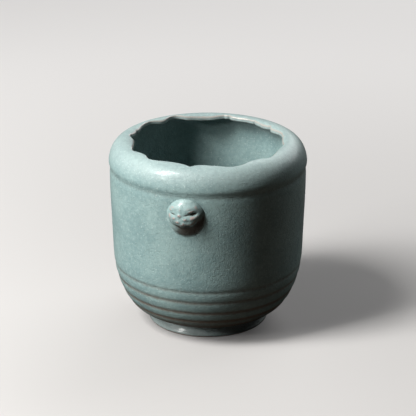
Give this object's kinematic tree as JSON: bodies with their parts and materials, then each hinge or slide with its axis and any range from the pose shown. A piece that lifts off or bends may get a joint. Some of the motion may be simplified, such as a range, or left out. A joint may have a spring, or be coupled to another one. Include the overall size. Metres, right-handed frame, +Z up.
{
  "type": "brush holder pot",
  "caption": "Squat celadon-glazed stoneware pot for standing calligraphy brushes, with a rolled collar, wavy cut lip, incised lines, flared foot and lion-mask bosses.",
  "frame": {"origin": "centre of the face the pot stands on", "axes": "+Z up along the pot's axis, -Y towards the front lion mask"},
  "size_m": [0.1166, 0.1262, 0.1115],
  "materials": {
    "celadon_glaze": "satin blue-green celadon, finely crackled, brown where it breaks over edges",
    "foot_glaze": "glossy celadon over a bare brown standing face",
    "mask_glaze": "celadon pooled in the hollows and reddish brown on the ridges"
  },
  "bodies": {
    "root": {"body_wall": "celadon_glaze", "rolled_collar": "celadon_glaze", "floor_disc": "celadon_glaze", "foot_ring": "foot_glaze", "front_mask": "mask_glaze", "rear_mask": "mask_glaze"}
  },
  "joints": []
}
